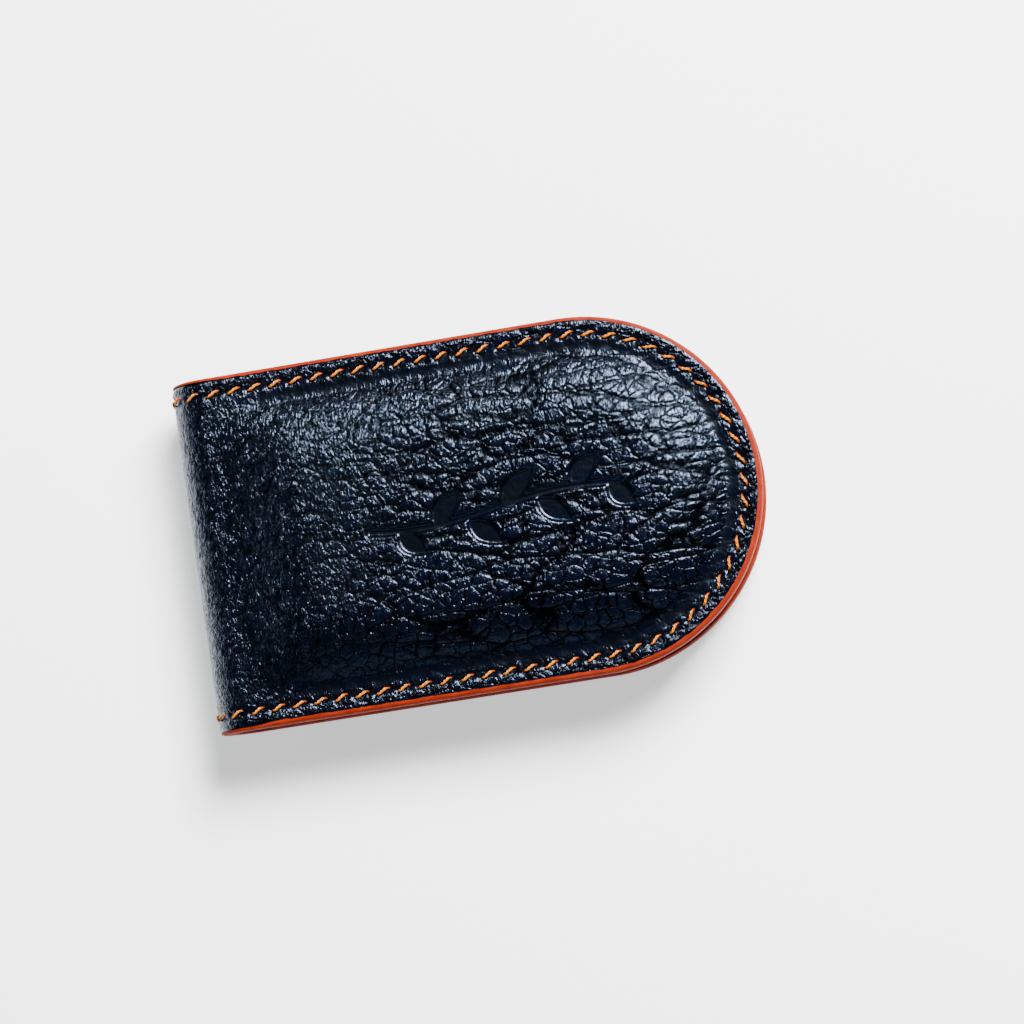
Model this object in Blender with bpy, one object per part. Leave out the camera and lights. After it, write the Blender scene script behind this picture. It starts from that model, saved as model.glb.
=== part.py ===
"""A magnetic leather money clip: one strip of leather folded once, with a padded magnet pocket in each flap.

+X runs from the fold to the round end, +Y across the clip, +Z up out of the front flap. The clip lies on
the crown of its back flap, and the origin is under the middle of the clip, on the surface that it lies on.

The strip is built in its own frame: x along the strip from a hinge line, z outwards from the glue line
between the outer leather and the lining. The fold is a chain of short leaves, so that the strip can bend.
"""

import math

import bmesh
import bpy
from mathutils import Matrix

# Overall size of the closed clip
CLIP_LENGTH = 0.0728
CLIP_WIDTH = 0.0450

# Leather, and the film of glue between any two layers
LEATHER = 0.00115
LINING = 0.00095
GLUE_LINE = 0.0001
EDGE_COAT = 0.00035

# The fold
SLOT_GAP = 0.0046
FOLD_LEAVES = 2
FOLD_CLEARANCE = 0.00015

# The stitched rim
STITCH_INSET = 0.00225
THREAD_WIDTH = 0.00045
THREAD_PROUD = 0.00015

# The padded pocket: where it starts, how it rises, and what lies in it
POCKET_START = 0.0090
POCKET_INSET = 0.0052
POCKET_CORNER = 0.0070
POCKET_RISE = 0.0065
LINING_SWELL = 0.0011
FOAM = 0.0009
FOAM_EDGE = 0.00025
SHIELD_PLATE = 0.0005
POCKET_CLEARANCE = 0.0003

# The magnets, and the board that holds them apart
MAGNETS = 3
MAGNET_WIDTH = 0.0200
MAGNET_THICKNESS = 0.0020
MAGNET_WEB = 0.0025
MAGNET_WALL = 0.0015
MAGNET_CLEARANCE = 0.0002

# How finely the round shapes are cut
END_STEPS = 24
CORNER_STEPS = 4
LEAST_CORNER = 0.0004

# Levels through one flap, outwards from the glue line
LEATHER_INSIDE = GLUE_LINE / 2
LEATHER_OUTSIDE = LEATHER_INSIDE + LEATHER
LINING_OUTSIDE = -GLUE_LINE / 2
LINING_INSIDE = LINING_OUTSIDE - LINING
BOARD_BOTTOM = LINING_OUTSIDE - LINING_SWELL + GLUE_LINE
BOARD_TOP = BOARD_BOTTOM + MAGNET_THICKNESS
PLATE_BOTTOM = BOARD_TOP + GLUE_LINE
PLATE_TOP = PLATE_BOTTOM + SHIELD_PLATE
FOAM_BOTTOM = PLATE_TOP + GLUE_LINE
BULGE = FOAM_BOTTOM + FOAM + GLUE_LINE - LEATHER_INSIDE

# The fold's circle, and the hinge lines along its glue line
FOLD_RADIUS = SLOT_GAP / 2 - LINING_INSIDE + LEATHER_OUTSIDE
HINGE_RADIUS = FOLD_RADIUS - LEATHER_OUTSIDE
HINGE_TURN = math.pi / (FOLD_LEAVES + 1)
MITRE = math.tan(HINGE_TURN / 2)
LEAF_PITCH = 2 * HINGE_RADIUS * MITRE
# The leather's corners at a hinge line stand out further than the middle of a leaf.
CORNER_REACH = (HINGE_RADIUS / math.cos(HINGE_TURN / 2)
                + LEATHER_OUTSIDE * math.cos(HINGE_TURN / 2)
                - FOLD_CLEARANCE * math.sin(HINGE_TURN / 2))
# An odd number of leaves puts the middle of a leaf on the fold's outermost line, an even number a hinge.
FOLD_REACH = FOLD_RADIUS if FOLD_LEAVES % 2 else CORNER_REACH

# The flap in its own frame
HALF_WIDTH = CLIP_WIDTH / 2
HINGE_FROM_FOLD = FOLD_REACH - HINGE_RADIUS * MITRE
FLAP_REACH = CLIP_LENGTH - HINGE_FROM_FOLD
END_CENTRE = FLAP_REACH - HALF_WIDTH
POCKET_LEFT = POCKET_START - HINGE_FROM_FOLD
LEATHER_INSET = EDGE_COAT + GLUE_LINE
HINGE_HEIGHT = BULGE + LEATHER_OUTSIDE

COLOURS = {
    "outer_leather": ((0.012, 0.016, 0.028), 0.38, 0.0),
    "lining_leather": ((0.020, 0.022, 0.030), 0.55, 0.0),
    "orange_thread": ((0.800, 0.190, 0.030), 0.60, 0.0),
    "edge_paint": ((0.620, 0.080, 0.030), 0.35, 0.0),
    "foam": ((0.550, 0.540, 0.500), 0.95, 0.0),
    "board": ((0.330, 0.240, 0.150), 0.85, 0.0),
    "magnet_nickel": ((0.620, 0.600, 0.560), 0.18, 1.0),
    "plate_steel": ((0.450, 0.460, 0.480), 0.35, 1.0),
}


def clear_scene():
    for obj in list(bpy.data.objects):
        bpy.data.objects.remove(obj, do_unlink=True)


def material(name):
    """A Principled material from COLOURS, made once."""
    found = bpy.data.materials.get(name)
    if found:
        return found
    colour, roughness, metallic = COLOURS[name]
    made = bpy.data.materials.new(name)
    made.use_nodes = True
    shader = made.node_tree.nodes["Principled BSDF"]
    shader.inputs["Base Color"].default_value = (*colour, 1.0)
    shader.inputs["Roughness"].default_value = roughness
    shader.inputs["Metallic"].default_value = metallic
    return made


def empty(name, parent, location, turn, axis):
    """A frame for what is parented to it, turned about one of its parent's axes."""
    made = bpy.data.objects.new(name, None)
    bpy.context.collection.objects.link(made)
    made.parent = parent
    made.matrix_local = Matrix.Translation(location) @ Matrix.Rotation(turn, 4, axis)
    return made


def add_object(name, bm, parent, material_name):
    """Turns a bmesh into an object whose normals point outwards."""
    bmesh.ops.recalc_face_normals(bm, faces=bm.faces)
    mesh = bpy.data.meshes.new(name)
    bm.to_mesh(mesh)
    bm.free()
    mesh.shade_smooth()
    mesh.set_sharp_from_angle(angle=math.radians(35))
    made = bpy.data.objects.new(name, mesh)
    bpy.context.collection.objects.link(made)
    made.parent = parent
    made.data.materials.append(material(material_name))
    return made


def end_arc(half):
    """The round end, from the -Y side to the +Y side, at a half width."""
    steps = [math.pi * (i / END_STEPS - 0.5) for i in range(END_STEPS + 1)]
    return [(END_CENTRE + half * math.cos(a), half * math.sin(a)) for a in steps]


def corner(left, half, size, rounded):
    """The corner beside the fold on the -Y side, from the fold's edge to the long edge."""
    points = []
    for i in range(CORNER_STEPS + 1):
        share = i / CORNER_STEPS
        if rounded:
            a = share * math.pi / 2
            points.append((left + size * (1 - math.cos(a)), size * (1 - math.sin(a)) - half))
        elif share <= 0.5:
            points.append((left, size * (1 - 2 * share) - half))
        else:
            points.append((left + size * (2 * share - 1), -half))
    return points


def corner_size(inset):
    """The radius of the pocket's corners beside the fold, which shrinks towards the crown."""
    return max(POCKET_CORNER - max(inset - POCKET_INSET, 0.0), LEAST_CORNER)


def outline(inset, left, rounded=True):
    """A closed loop at this distance inside the clip's edge, whose edge beside the fold is at x = left."""
    half = HALF_WIDTH - inset
    near = corner(left, half, corner_size(inset), rounded)
    far = [(x, -y) for x, y in reversed(near)]
    return near + end_arc(half) + far


def layer(name, parent, material_name, top, bottom):
    """A closed sheet between two stacks of loops, each listed from the rim inwards as (loop, z)."""
    bm = bmesh.new()
    rings = []
    for stack in (top, bottom):
        rings.append([[bm.verts.new((x, y, z)) for x, y in loop] for loop, z in stack])
    upper, lower = rings
    count = len(upper[0])
    for stack in rings:
        for outer, inner in zip(stack, stack[1:]):
            for i in range(count):
                j = (i + 1) % count
                bm.faces.new((outer[i], outer[j], inner[j], inner[i]))
        bm.faces.new(stack[-1])
    for i in range(count):
        j = (i + 1) % count
        bm.faces.new((lower[0][i], lower[0][j], upper[0][j], upper[0][i]))
    return add_object(name, bm, parent, material_name)


def rim_band(name, parent, material_name, outside, inside, top, bottom):
    """A U-shaped band along the long edges and the round end, between two insets.

    top and bottom are (z, x where the band starts beside the fold).
    """
    bm = bmesh.new()
    sections = []
    for inset in (outside, inside):
        half = HALF_WIDTH - inset
        for z, left in (bottom, top):
            run = [(left, -half)] + end_arc(half) + [(left, half)]
            sections.append([bm.verts.new((x, y, z)) for x, y in run])
    outer_low, outer_high, inner_low, inner_high = sections
    around = (outer_low, outer_high, inner_high, inner_low)
    for first, second in zip(around, around[1:] + around[:1]):
        for i in range(len(first) - 1):
            bm.faces.new((first[i], first[i + 1], second[i + 1], second[i]))
    bm.faces.new([run[0] for run in around])
    bm.faces.new([run[-1] for run in around])
    return add_object(name, bm, parent, material_name)


def leaf(name, parent, material_name, high, low):
    """A block across the fold between two levels, each (z, x at its start, x at its end)."""
    half = HALF_WIDTH - LEATHER_INSET
    bm = bmesh.new()
    corners = []
    for z, start, stop in (low, high):
        for x, y in ((start, -half), (stop, -half), (stop, half), (start, half)):
            corners.append(bm.verts.new((x, y, z)))
    bm.faces.new(corners[:4])
    bm.faces.new(corners[4:])
    for i in range(4):
        j = (i + 1) % 4
        bm.faces.new((corners[i], corners[j], corners[j + 4], corners[i + 4]))
    return add_object(name, bm, parent, material_name)


def block(name, parent, material_name, centre, size):
    """A square-edged block."""
    bm = bmesh.new()
    bmesh.ops.create_cube(bm, size=1.0, matrix=Matrix.Diagonal((*size, 1.0)))
    bmesh.ops.translate(bm, verts=bm.verts, vec=centre)
    return add_object(name, bm, parent, material_name)


def mitred(z):
    """Where a layer below the glue line starts, so that the closed fold's leaves just clear each other."""
    return max(-z, 0.0) * MITRE + FOLD_CLEARANCE


def rise(share):
    """How high the outer leather stands over the rim, this share of the way up the pocket's side."""
    return BULGE * math.sin(share * math.pi / 2)


def share_at(height):
    """Where on the pocket's side the leather's inside is this high."""
    return math.asin((height - LEATHER_INSIDE) / BULGE) * 2 / math.pi


def pocket_inset(share):
    return POCKET_INSET + POCKET_RISE * share


def pocket_loop(share, further=0.0):
    """The pocket's outline this share of the way up its side, and a clearance further in."""
    inset = pocket_inset(share) + further
    return outline(inset, POCKET_LEFT + inset - POCKET_INSET)


BOARD_SHARE = share_at(BOARD_TOP + GLUE_LINE)
FOAM_SHARE = share_at(FOAM_BOTTOM + FOAM_EDGE + GLUE_LINE)
CROWN_SHARES = [FOAM_SHARE, (1 + FOAM_SHARE) / 2, 1.0]


def outer_leather(flap, frame):
    """The flap's outside: flat along its rim and domed over the pocket."""
    rim = outline(LEATHER_INSET, FOLD_CLEARANCE, rounded=False)
    sides = []
    for level in (LEATHER_OUTSIDE, LEATHER_INSIDE):
        stack = [(rim, level)]
        for share in [0.0, BOARD_SHARE] + CROWN_SHARES:
            stack.append((pocket_loop(share), level + rise(share)))
        sides.append(stack)
    layer(f"{flap}_outer_leather", frame, "outer_leather", *sides)


def lining(flap, frame):
    """The flap's inside: it swells a little over the magnets."""
    sides = []
    for level in (LINING_OUTSIDE, LINING_INSIDE):
        stack = [(outline(LEATHER_INSET, mitred(level), rounded=False), level)]
        stack.append((pocket_loop(0.0), level))
        stack.append((pocket_loop(BOARD_SHARE), level - LINING_SWELL))
        sides.append(stack)
    layer(f"{flap}_lining", frame, "lining_leather", *sides)


def foam_pad(flap, frame):
    """Foam under the outer leather, feathered towards its edge."""
    top = []
    bottom = []
    for share in CROWN_SHARES:
        loop = pocket_loop(share)
        top.append((loop, LEATHER_INSIDE + rise(share) - GLUE_LINE))
        bottom.append((loop, FOAM_BOTTOM))
    layer(f"{flap}_foam_pad", frame, "foam", top, bottom)


def shield_plate(flap, frame):
    """A thin steel plate behind the magnets, which turns their pull to the inside of the clip."""
    loop = pocket_loop(FOAM_SHARE, POCKET_CLEARANCE)
    layer(f"{flap}_shield_plate", frame, "plate_steel", [(loop, PLATE_TOP)], [(loop, PLATE_BOTTOM)])


def magnet_places():
    """(middle, length) of each magnet: a row that fills the board between its walls."""
    inset = pocket_inset(BOARD_SHARE) + POCKET_CLEARANCE
    half = HALF_WIDTH - inset
    wall = MAGNET_WIDTH / 2 + MAGNET_CLEARANCE + MAGNET_WALL
    # The row stops short of the board's rounded corners at one end and of its round end at the other.
    size = corner_size(inset)
    past_corner = max(wall - (half - size), 0.0)
    from_corner = size - math.sqrt(max(size**2 - past_corner**2, 0.0))
    start = POCKET_LEFT + inset - POCKET_INSET + max(MAGNET_WALL, from_corner)
    stop = END_CENTRE + math.sqrt(max(half**2 - wall**2, 0.0))
    pitch = (stop - start + MAGNET_WEB) / MAGNETS
    length = pitch - MAGNET_WEB - 2 * MAGNET_CLEARANCE
    return [(start + (i + 0.5) * pitch - MAGNET_WEB / 2, length) for i in range(MAGNETS)]


def magnets_and_board(flap, frame):
    """Block magnets in the windows of a fibre board of their own thickness."""
    loop = pocket_loop(BOARD_SHARE, POCKET_CLEARANCE)
    board = layer(f"{flap}_magnet_board", frame, "board", [(loop, BOARD_TOP)], [(loop, BOARD_BOTTOM)])
    middle = (BOARD_TOP + BOARD_BOTTOM) / 2
    for number, (x, length) in enumerate(magnet_places(), 1):
        size = (length, MAGNET_WIDTH, MAGNET_THICKNESS)
        block(f"{flap}_magnet_{number}", frame, "magnet_nickel", (x, 0.0, middle), size)
        window = (
            length + 2 * MAGNET_CLEARANCE,
            MAGNET_WIDTH + 2 * MAGNET_CLEARANCE,
            MAGNET_THICKNESS * 2,
        )
        cutter = block(f"{flap}_window_{number}", frame, "board", (x, 0.0, middle), window)
        cutter.hide_render = True
        cutter.display_type = "WIRE"
        cut = board.modifiers.new(f"window_{number}", "BOOLEAN")
        cut.operation = "DIFFERENCE"
        cut.solver = "EXACT"
        cut.object = cutter


def threads(flap, frame):
    """The two threads of the lockstitch: the needle's outside, the bobbin's inside."""
    outside = STITCH_INSET - THREAD_WIDTH / 2
    inside = STITCH_INSET + THREAD_WIDTH / 2
    low = LEATHER_OUTSIDE + GLUE_LINE
    needle = ((low + THREAD_PROUD, FOLD_CLEARANCE), (low, FOLD_CLEARANCE))
    rim_band(f"{flap}_needle_thread", frame, "orange_thread", outside, inside, *needle)
    high = LINING_INSIDE - GLUE_LINE
    low = high - THREAD_PROUD
    bobbin = ((high, mitred(high)), (low, mitred(low)))
    rim_band(f"{flap}_bobbin_thread", frame, "orange_thread", outside, inside, *bobbin)


def edge_coat(flap, frame):
    """The coat of edge paint round the flap, as thick as both leathers are deep."""
    top = (LEATHER_OUTSIDE, mitred(LINING_INSIDE))
    bottom = (LINING_INSIDE, mitred(LINING_INSIDE))
    rim_band(f"{flap}_edge_paint", frame, "edge_paint", 0.0, EDGE_COAT, top, bottom)


def flap_pieces(flap, frame):
    outer_leather(flap, frame)
    foam_pad(flap, frame)
    shield_plate(flap, frame)
    magnets_and_board(flap, frame)
    lining(flap, frame)
    threads(flap, frame)
    edge_coat(flap, frame)


def fold_leaf(number, frame):
    """One leaf of the fold: outer leather over lining, both cut to clear their neighbours."""
    level = LEATHER_OUTSIDE, LEATHER_INSIDE
    leather = [(z, FOLD_CLEARANCE, LEAF_PITCH - FOLD_CLEARANCE) for z in level]
    leaf(f"fold_outer_leather_{number}", frame, "outer_leather", *leather)
    level = LINING_OUTSIDE, LINING_INSIDE
    under = [(z, mitred(z), LEAF_PITCH - mitred(z)) for z in level]
    leaf(f"fold_lining_{number}", frame, "lining_leather", *under)


def build():
    clear_scene()
    hinge_x = HINGE_FROM_FOLD - CLIP_LENGTH / 2
    back = empty("back_flap_frame", None, (hinge_x, 0.0, HINGE_HEIGHT), math.pi, "X")
    flap_pieces("back", back)
    # Each leaf hangs on the one before it, and the front flap on the last.
    first_turn = HINGE_TURN - math.pi
    frame = empty("fold_hinge_1", None, (hinge_x, 0.0, HINGE_HEIGHT), first_turn, "Y")
    for number in range(1, FOLD_LEAVES + 1):
        fold_leaf(number, frame)
        place = (LEAF_PITCH, 0.0, 0.0)
        frame = empty(f"fold_hinge_{number + 1}", frame, place, HINGE_TURN, "Y")
    flap_pieces("front", frame)


build()
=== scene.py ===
"""The looks of a folded leather money clip, built round its CAD frame."""

import math

import bpy
import numpy as np
from mathutils import Matrix, Vector


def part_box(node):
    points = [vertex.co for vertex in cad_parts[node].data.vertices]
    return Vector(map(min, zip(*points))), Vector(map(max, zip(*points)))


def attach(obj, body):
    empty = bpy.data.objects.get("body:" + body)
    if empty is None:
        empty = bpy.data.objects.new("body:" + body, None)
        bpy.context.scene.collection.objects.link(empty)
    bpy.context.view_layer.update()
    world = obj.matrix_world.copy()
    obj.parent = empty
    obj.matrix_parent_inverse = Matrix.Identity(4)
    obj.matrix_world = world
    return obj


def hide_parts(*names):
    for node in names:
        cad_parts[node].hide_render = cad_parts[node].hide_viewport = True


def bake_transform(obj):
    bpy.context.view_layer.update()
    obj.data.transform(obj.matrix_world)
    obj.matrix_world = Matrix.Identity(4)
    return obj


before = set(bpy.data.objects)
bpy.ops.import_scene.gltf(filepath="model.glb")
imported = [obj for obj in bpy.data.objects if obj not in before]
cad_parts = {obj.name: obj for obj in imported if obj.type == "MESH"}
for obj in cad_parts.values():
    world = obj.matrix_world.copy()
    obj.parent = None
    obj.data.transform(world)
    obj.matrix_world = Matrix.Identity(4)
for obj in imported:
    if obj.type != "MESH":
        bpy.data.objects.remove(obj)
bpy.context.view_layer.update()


# Camera and floor. The clip lies on its back pad on a plain white sheet, seen from almost straight above
# through a long lens, with its round end to the right and a little higher than its fold.
LOOK_FROM = Vector((0.0543, -0.0466, 0.4426))
LOOK_AT = Vector((0.0044, -0.0002, 0.0070))
LENGTH_RISES = math.radians(9.3)

camera = bpy.data.objects.new("camera", bpy.data.cameras.new("camera"))
bpy.context.collection.objects.link(camera)
camera.data.lens = 123.0
camera.data.sensor_width = 36.0
camera.data.clip_start = 0.01
camera.data.clip_end = 10.0
back = (LOOK_FROM - LOOK_AT).normalized()
along = Vector((1.0, 0.0, 0.0)) - back * back.x
along.normalize()
across = back.cross(along)
right = along * math.cos(LENGTH_RISES) - across * math.sin(LENGTH_RISES)
up = along * math.sin(LENGTH_RISES) + across * math.cos(LENGTH_RISES)
turned = Matrix((right, up, back)).transposed().to_4x4()
camera.matrix_world = Matrix.Translation(LOOK_FROM) @ turned
bpy.context.scene.camera = camera


def add(tree, kind, inputs=None, **settings):
    """Adds a node, with its settings and then its inputs, each a value or another node's output."""
    made = tree.nodes.new(kind)
    for key, value in settings.items():
        setattr(made, key, value)
    for key, value in (inputs or {}).items():
        if isinstance(value, bpy.types.NodeSocket):
            tree.links.new(value, made.inputs[key])
        else:
            made.inputs[key].default_value = value
    return made


def calc(tree, operation, *values, clamp=False):
    """A math node's output."""
    pairs = dict(enumerate(values))
    return add(tree, "ShaderNodeMath", pairs, operation=operation, use_clamp=clamp).outputs[0]


def ramp(tree, value, low, high, start=0.0, stop=1.0):
    """A value carried smoothly from one range to another."""
    inputs = {"Value": value, "From Min": low, "From Max": high, "To Min": start, "To Max": stop}
    made = add(tree, "ShaderNodeMapRange", inputs, interpolation_type="SMOOTHSTEP")
    return made.outputs["Result"]


def new_material(name):
    """A material, its node tree and its Principled shader."""
    made = bpy.data.materials.new(name)
    made.use_nodes = True
    return made, made.node_tree, made.node_tree.nodes["Principled BSDF"]


def set_inputs(shader, **values):
    """Sets a shader's own sockets by name, with _ for a space."""
    for key, value in values.items():
        shader.inputs[key.replace("_", " ")].default_value = value


floor_material, tree, shader = new_material("white_sheet")
set_inputs(shader, Base_Color=(0.95, 0.95, 0.95, 1.0), Roughness=0.9, Specular_IOR_Level=0.1)
set_inputs(shader, Emission_Color=(1.0, 1.0, 1.0, 1.0), Emission_Strength=0.8)
floor_mesh = bpy.data.meshes.new("floor")
floor_mesh.from_pydata([(-3, -3, 0), (3, -3, 0), (3, 3, 0), (-3, 3, 0)], [], [(0, 1, 2, 3)])
floor_mesh.materials.append(floor_material)
floor = bpy.data.objects.new("floor", floor_mesh)
bpy.context.collection.objects.link(floor)


# Outer leather. One strip of pebbled navy-black cowhide, skived and glued to the lining, folded once and
# moulded over the pad in each flap. A groove runs round the pad's foot and a stitched seam round the rim.
CENTRE_X = -0.0319
CENTRE_Z = 0.0071
GLUE_RADIUS = 0.0033
LEATHER_TOP = 0.0012
LEATHER_UNDER = 0.00005
LEATHER_EDGE = 0.00040
EDGE_ROLL = 0.0011
EDGE_DROP = 0.00042
FOLD_RADIUS = GLUE_RADIUS + LEATHER_TOP
FOLD_LENGTH = math.pi * FOLD_RADIUS
HALF_WIDTH = 0.0225
END_CENTRE = 0.0458
PAD_INSET = 0.0044
PAD_RISE = 0.0085
PAD_HEIGHT = 0.0026
PAD_CROWN = 0.00025
PAD_RAMP = 0.0112
POCKET_START = 0.0053
POCKET_INSET = 0.0052
POCKET_CORNER = 0.0070
POCKET_RISE = 0.0065
SPRIG_CENTRE = 0.0350
SPRIG_HALF = 0.0165
SPRIG_SWAY = 0.0011
SPRIG_LEAVES = 7
SPRIG_DEPTH = 0.00050
GROOVE_INSET = 0.0037
GROOVE_WIDTH = 0.0009
GROOVE_DEPTH = 0.00012
SEAM_INSET = 0.00225
SEAM_HALF = HALF_WIDTH - SEAM_INSET
SEAM_LENGTH = 2 * END_CENTRE + math.pi * SEAM_HALF
STITCHES = 58
PITCH = SEAM_LENGTH / STITCHES
FOLD_STITCHES = 5
FOLD_PITCH = FOLD_LENGTH / FOLD_STITCHES
STITCH_LENGTH = 0.00175
STITCH_TURN = math.radians(18)
FOLD_CUTS = (0.0, math.pi / 3, 2 * math.pi / 3, math.pi)


def smooth(t):
    """0 up to 0 and 1 from 1, with a soft S between."""
    t = np.clip(t, 0.0, 1.0)
    return t * t * (3 - 2 * t)


def edge_distance(x, y):
    """How far inside the flap's edge a point is, whatever its distance from the fold."""
    past = np.maximum(x - END_CENTRE, 0.0)
    return HALF_WIDTH - np.hypot(past, y)


def pocket_depth(x, y):
    """How far inside the outline of the magnet pocket a point of the flap is."""
    a = edge_distance(x, y) - POCKET_INSET
    b = x - POCKET_START
    rounded = POCKET_CORNER - np.hypot(POCKET_CORNER - a, POCKET_CORNER - b)
    return np.where((a < POCKET_CORNER) & (b < POCKET_CORNER), rounded, np.minimum(a, b))


def seam_place(x, y):
    """Where a point lies along the seam, and how far outside the seam's line it is."""
    angle = np.arctan2(y, np.maximum(x - END_CENTRE, 1e-9))
    straight = np.where(y < 0, x, SEAM_LENGTH - x)
    curved = END_CENTRE + SEAM_HALF * (angle + math.pi / 2)
    return np.where(x < END_CENTRE, straight, curved), SEAM_INSET - edge_distance(x, y)


def bump_at(a, b, wide):
    """A round bump of height 1 at (0, 0)."""
    return np.exp(-(a * a + b * b) / (wide * wide))


def seam_relief(q, outside, pitch):
    """The channel that the thread is drawn into, the awl's holes, and the leather puckered between them."""
    step = (q / pitch) % 1.0 - 0.5
    reach = step * pitch
    end_q = STITCH_LENGTH / 2 * math.cos(STITCH_TURN)
    end_o = STITCH_LENGTH / 2 * math.sin(STITCH_TURN)
    holes = 0.0
    for side in (-1, 1):
        holes = holes + bump_at(reach - side * end_q, outside + side * end_o, 0.00024)
    between = bump_at((np.abs(step) - 0.5) * pitch, outside, 0.00045)
    channel = np.exp(-(outside / 0.00062) ** 2)
    puckers = np.cos(2 * math.pi * step) * np.exp(-((np.abs(outside) - 0.0009) / 0.0006) ** 2)
    return -0.00012 * channel - 0.00016 * holes + 0.00006 * between - 0.000025 * puckers


def groove_at(x, d):
    """The smooth groove between the seam and the pad, which fades out towards the fold."""
    return np.exp(-(((d - GROOVE_INSET) / GROOVE_WIDTH) ** 2)) * smooth(x / 0.012)


def rolled_edge(d):
    """How much of the edge's rounding a point has, this far in from the edge."""
    return np.clip(1 - d / EDGE_ROLL, 0, 1) ** 2.2


def quiet_seam(d):
    """How strongly the grain shows near the edge: less on the rounding and in the seam's channel."""
    return smooth((d - 0.0004) / 0.0006) * (1 - 0.75 * np.exp(-(((SEAM_INSET - d) / 0.0004) ** 2)))


def leather_height(x, y):
    """The outer leather's surface over a flap, before its grain."""
    d = edge_distance(x, y)
    share = np.clip((d - PAD_INSET) / PAD_RISE, 0, 1)
    rise = np.sin(share * math.pi / 2) ** (0.92 + 0.7 * np.exp(-share / 0.07))
    rise = rise * smooth(x / PAD_RAMP)
    crown = PAD_CROWN * smooth((d - PAD_INSET) / 0.015) * smooth(x / 0.02)
    q, outside = seam_place(x, y)
    height = LEATHER_TOP + (PAD_HEIGHT - PAD_CROWN) * rise + crown - EDGE_DROP * rolled_edge(d)
    return height - GROOVE_DEPTH * groove_at(x, d) + seam_relief(q, outside, PITCH)


def sprig(x, y, grow=0.0):
    """A leafy twig pressed into the pad: 1 at the bottom of its strokes, 0 outside them."""
    along = (x - SPRIG_CENTRE) / SPRIG_HALF
    from_stem = np.abs(y - SPRIG_SWAY * np.sin(2.6 * along))
    press = smooth((0.00066 + grow - from_stem) / 0.00036) * smooth((1.0 - np.abs(along)) / 0.02)
    for number in range(SPRIG_LEAVES):
        root = -0.80 + 1.62 * number / (SPRIG_LEAVES - 1)
        lean = (1 if number % 2 else -1) * math.radians(38)
        u = x - SPRIG_CENTRE - SPRIG_HALF * root
        v = y - SPRIG_SWAY * math.sin(2.6 * root)
        u, v = u * math.cos(lean) + v * math.sin(lean), v * math.cos(lean) - u * math.sin(lean)
        long = 0.0064 - 0.0018 * abs(root)
        t = np.clip((u - 0.0008) / long, 0, 1)
        half = 0.00150 * np.sin(math.pi * t**0.8)
        leaf = smooth((half + grow - np.abs(v)) / 0.00032 + 0.15) * (t > 0) * (t < 1)
        press = np.maximum(press, leaf)
    return press


def graded(length, fine, coarse, at_start, at_end, zone=0.004):
    """Places along a length, closer together near the chosen ends."""
    places = [0.0]
    while places[-1] < length:
        left = places[-1] if at_start else zone
        ahead = length - places[-1] if at_end else zone
        share = min(left, ahead, zone) / zone
        places.append(places[-1] + fine + (coarse - fine) * max(share, 0.0))
    return np.array(places) * (length / places[-1])


def flap_grid(along, over):
    """Points (x, y) of a flap: a patch whose sides are the fold's edge, the long edges and the round end."""
    half = HALF_WIDTH - LEATHER_EDGE
    turn = half * math.pi / 4
    side = END_CENTRE + turn
    u = (along / along[-1])[:, None]
    v = (over / over[-1])[None, :]
    run = u * side
    angle = np.clip((run - END_CENTRE) / half, 0, None)
    side_x = np.where(run < END_CENTRE, run, END_CENTRE + half * np.sin(angle))
    side_y = np.where(run < END_CENTRE, half, half * np.cos(angle))
    end = (v - 0.5) * math.pi / 2
    end_x = END_CENTRE + half * np.cos(end)
    end_y = half * np.sin(end)
    corner_x = END_CENTRE + half * math.cos(math.pi / 4)
    corner_y = half * math.sin(math.pi / 4)
    x = side_x + u * end_x - u * corner_x
    y = (2 * v - 1) * (side_y - u * corner_y) + u * end_y
    return x, y


def to_flap(face, x, y, z):
    """A flap's own (along, across, outwards) in the row frame."""
    level = CENTRE_Z + face * (GLUE_RADIUS + z)
    return np.stack([CENTRE_X + x, y, level], axis=-1)


def to_fold(angle, y, z):
    """The same for the fold, where the place along the strip is an angle from the front flap's end."""
    radius = GLUE_RADIUS + z
    return np.stack([CENTRE_X - radius * np.sin(angle), y, CENTRE_Z + radius * np.cos(angle)], axis=-1)


def normals_of(points):
    """The unit normals of a grid of points."""
    along = np.gradient(points, axis=0)
    over = np.gradient(points, axis=1)
    out = np.cross(along, over)
    return out / np.linalg.norm(out, axis=-1, keepdims=True)


def make_object(name, points, faces, material, attributes=None):
    """A smooth mesh object whose faces point outwards, with its point attributes."""
    mesh = bpy.data.meshes.new(name)
    mesh.from_pydata(points.reshape(-1, 3).tolist(), [], faces)
    made = bpy.data.objects.new(name, mesh)
    bpy.context.collection.objects.link(made)
    mesh.materials.append(material)
    for key, values in (attributes or {}).items():
        kind = "FLOAT_VECTOR" if values.ndim > 1 else "FLOAT"
        field = "vector" if values.ndim > 1 else "value"
        mesh.attributes.new(key, kind, "POINT").data.foreach_set(field, values.astype(np.float32).ravel())
    mesh.update()
    mesh.shade_smooth()
    return made


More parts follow.
